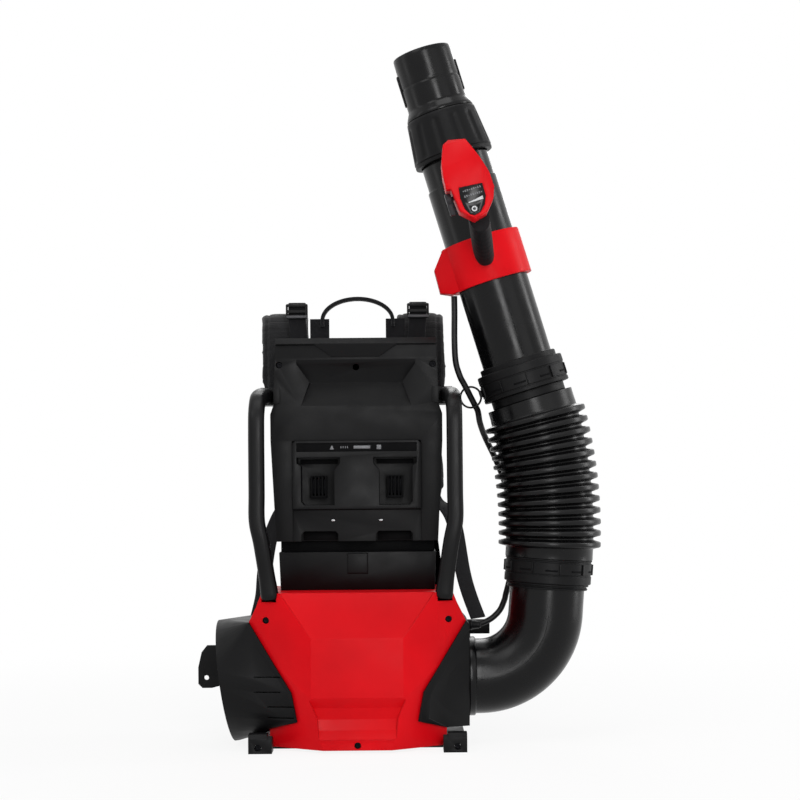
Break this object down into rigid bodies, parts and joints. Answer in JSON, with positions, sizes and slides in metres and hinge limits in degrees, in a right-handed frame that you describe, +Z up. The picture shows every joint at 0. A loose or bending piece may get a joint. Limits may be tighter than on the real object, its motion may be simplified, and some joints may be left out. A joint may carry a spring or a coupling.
{
  "type": "backpack leaf blower",
  "caption": "Backpack leaf blower with axial fan housing, battery bays, roll bars, harness, swivel elbow, bellows hose and a blower tube with a side grip and controls.",
  "frame": {"origin": "middle of the base plate's underside, below the fan axis", "axes": "+Z up as worn and as it stands, +X along the fan axis to the outlet side, +Y towards the wearer's back"},
  "size_m": [0.5762, 0.4428, 0.9748],
  "materials": {
    "red_shell": "semi-gloss moulded",
    "black_shell": "fine-textured moulded",
    "grey_moulding": "moulded",
    "steel": "plain",
    "copper": "bare",
    "circuit": "lacquered board",
    "cable_sheath": "matt",
    "bar_plastic": "satin moulded",
    "webbing": "woven",
    "pad_fabric": "padded, woven mesh",
    "bellows": "satin",
    "tube_satin": "satin",
    "soft_grip": "soft-touch",
    "display": "smooth, with plain white ticks",
    "button_grey": "smooth"
  },
  "bodies": {
    "pack": {"fan_housing": "red_shell", "rear_cover": "black_shell", "intake_cover": "black_shell", "intake_grille": "black_shell", "outlet_cover": "black_shell", "fan_duct": "grey_moulding", "motor_can": "steel", "motor_stator": "copper", "guide_vanes": "grey_moulding", "motor_bearings": "steel", "motor_controller": "black_shell", "base_frame": "black_shell", "neck_cover": "black_shell", "battery_housing": "black_shell", "battery_housing_back": "black_shell", "battery_tray": "black_shell", "terminal_blocks": "black_shell", "battery_contacts": "copper", "indicator_strip": "display", "control_board": "circuit", "wiring_loom": "cable_sheath", "roll_bar_left": "bar_plastic", "roll_bar_right": "bar_plastic", "back_frame": "black_shell", "side_bracket": "black_shell", "carry_handle": "webbing", "back_pad": "pad_fabric", "lumbar_pad": "pad_fabric", "shoulder_pad_left": "pad_fabric", "shoulder_pad_right": "pad_fabric", "lifter_straps": "webbing", "strap_buckles": "black_shell", "lower_straps": "webbing", "strap_anchors": "black_shell", "housing_screws": "steel"},
    "fan": {"impeller": "grey_moulding", "motor_shaft": "steel", "motor_rotor": "steel"},
    "elbow": {"outlet_elbow": "bar_plastic", "lower_hose_collar": "bar_plastic", "hose_lower": "bellows", "pack_cable": "cable_sheath"},
    "hose_mid": {"hose_middle": "bellows"},
    "hose_end": {"hose_upper": "bellows", "upper_hose_collar": "bar_plastic", "cable_guide": "bar_plastic", "hose_cable": "cable_sheath"},
    "tube": {"main_tube": "tube_satin", "nozzle_end": "tube_satin", "clamp_front": "red_shell", "clamp_rear": "red_shell", "clamp_screws": "steel", "grip": "soft_grip", "control_head": "red_shell", "display_panel": "display", "handle_cable": "cable_sheath"},
    "nut": {"coupling_nut": "tube_satin"},
    "trigger": {"throttle_trigger": "soft_grip"},
    "lever": {"cruise_lever": "soft_grip"},
    "button": {"power_button": "button_grey"}
  },
  "joints": [
    {"name": "fan_spin", "type": "hinge", "parent": "pack", "child": "fan", "pos_m": [0, 0, 0.091], "axis": [1, 0, 0], "continuous": true},
    {"name": "elbow_swivel", "type": "hinge", "parent": "pack", "child": "elbow", "pos_m": [0.153, 0, 0.091], "axis": [1, 0, 0], "range_deg": [-95, 20], "deforming": ["pack_cable"]},
    {"name": "hose_bend_fore", "type": "hinge", "parent": "elbow", "child": "hose_mid", "pos_m": [0.26871, 0, 0.29861], "axis": [1, 0, 0.0007], "range_deg": [-18, 18], "deforming": ["hose_lower"]},
    {"name": "hose_bend_side", "type": "hinge", "parent": "hose_mid", "child": "hose_end", "pos_m": [0.25413, 0, 0.43117], "axis": [0, 1, 0], "range_deg": [-3, 35], "deforming": ["hose_upper", "hose_cable"]},
    {"name": "tube_swivel", "type": "hinge", "parent": "hose_end", "child": "tube", "pos_m": [0.24219, 0, 0.47667], "axis": [-0.2907, 0, 0.9568], "range_deg": [-45, 45], "deforming": ["handle_cable"]},
    {"name": "nut_twist", "type": "hinge", "parent": "tube", "child": "nut", "pos_m": [0.13986, 0, 0.81347], "axis": [-0.2907, 0, 0.9568], "range_deg": [0, 60]},
    {"name": "trigger_pull", "type": "hinge", "parent": "tube", "child": "trigger", "pos_m": [0.15672, -0.176, 0.75798], "axis": [-0.9568, 0, -0.2907], "range_deg": [0, 18], "stiffness_Nm_per_rad": 0.35, "springref_deg": -8.59},
    {"name": "lever_turn", "type": "hinge", "parent": "tube", "child": "lever", "pos_m": [0.12368, -0.182, 0.72913], "axis": [0.9568, 0, 0.2907], "range_deg": [0, 45]},
    {"name": "button_press", "type": "slide", "parent": "tube", "child": "button", "axis": [0, 1, 0], "range_m": [0, 0.0015], "stiffness_N_per_m": 400, "springref_m": -0.0005}
  ]
}
